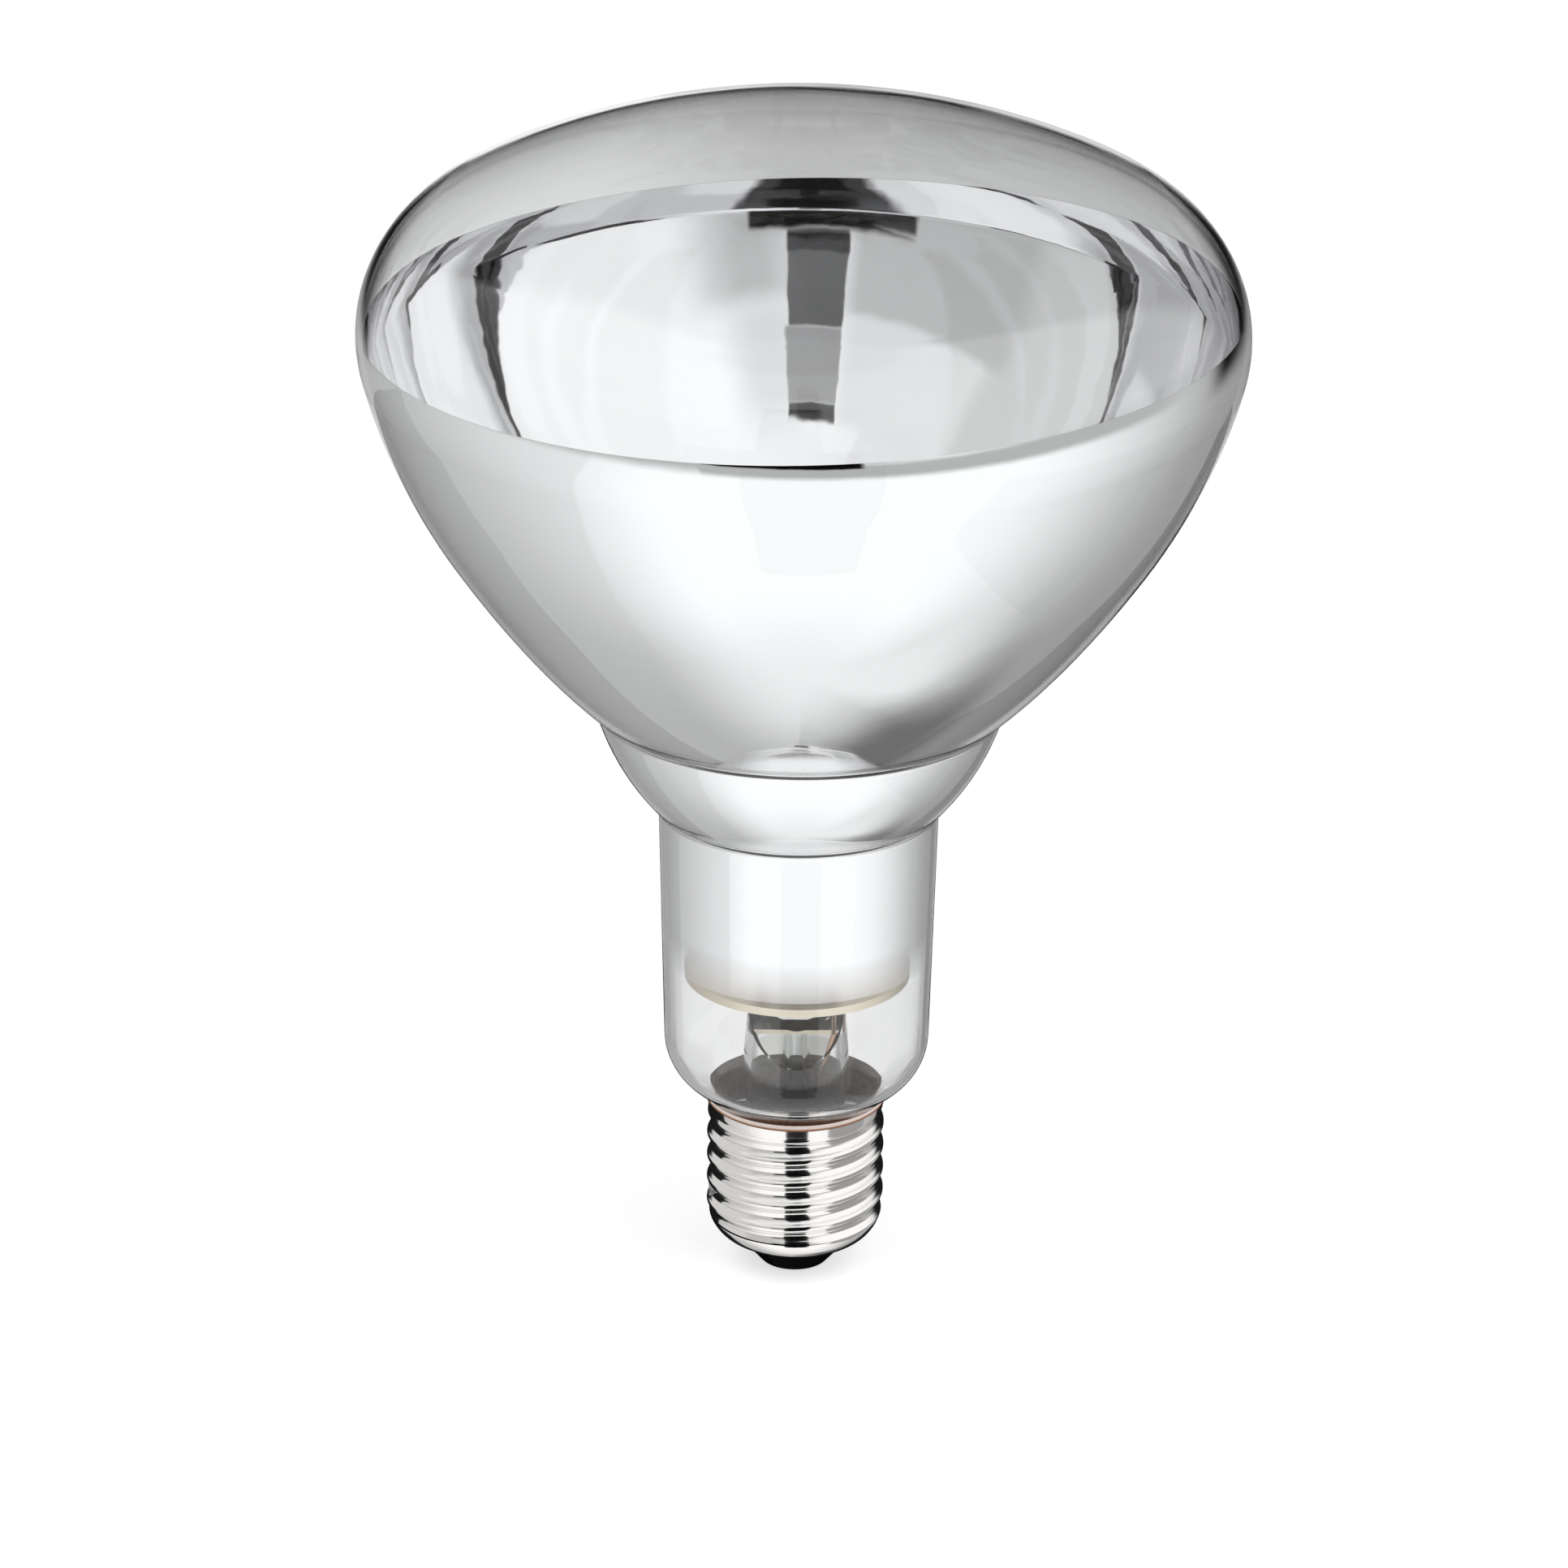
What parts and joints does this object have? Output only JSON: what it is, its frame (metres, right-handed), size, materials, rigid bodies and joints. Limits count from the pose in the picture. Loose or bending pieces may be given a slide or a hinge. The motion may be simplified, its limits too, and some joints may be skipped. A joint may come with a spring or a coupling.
{
  "type": "infrared heat lamp bulb",
  "caption": "Infrared heat lamp bulb: clear dome face, mirrored bowl that narrows through a rounded bulge to a short clear neck, and a metal screw cap with a black glass foot.",
  "frame": {"origin": "on the lamp's axis, at the bottom of the centre contact", "axes": "+Z runs along the axis from the centre contact to the dome face, -Y is the side towards the camera of the picture, +X is to its right"},
  "size_m": [0.127, 0.127, 0.1773],
  "materials": {
    "clear_glass": "clear polished blown glass",
    "mirror_film": "vapour coated aluminium mirror",
    "stem_glass": "clear fire polished glass",
    "deflector_metal": "smooth rolled sheet",
    "lead_nickel": "drawn nickel wire",
    "lead_copper": "drawn copper sheathed wire",
    "tungsten": "drawn tungsten wire",
    "cap_metal": "bright rolled sheet",
    "cement": "baked basing cement",
    "black_glass": "glossy moulded black glass",
    "contact_brass": "stamped sheet",
    "solder": "dull solder"
  },
  "bodies": {
    "root": {"glass_envelope": "clear_glass", "mirror_coating": "mirror_film", "glass_stem": "stem_glass", "exhaust_tube": "stem_glass", "arbor_rod": "stem_glass", "heat_deflector": "deflector_metal", "inner_lead_left": "lead_nickel", "inner_lead_right": "lead_nickel", "outer_lead_left": "lead_copper", "outer_lead_right": "lead_copper", "filament": "tungsten", "filament_support_1": "tungsten", "filament_support_2": "tungsten", "filament_support_3": "tungsten", "filament_support_4": "tungsten", "filament_support_5": "tungsten", "screw_shell": "cap_metal", "basing_cement": "cement", "cap_insulator": "black_glass", "centre_contact": "contact_brass", "centre_solder": "solder", "side_solder": "solder"}
  },
  "joints": []
}
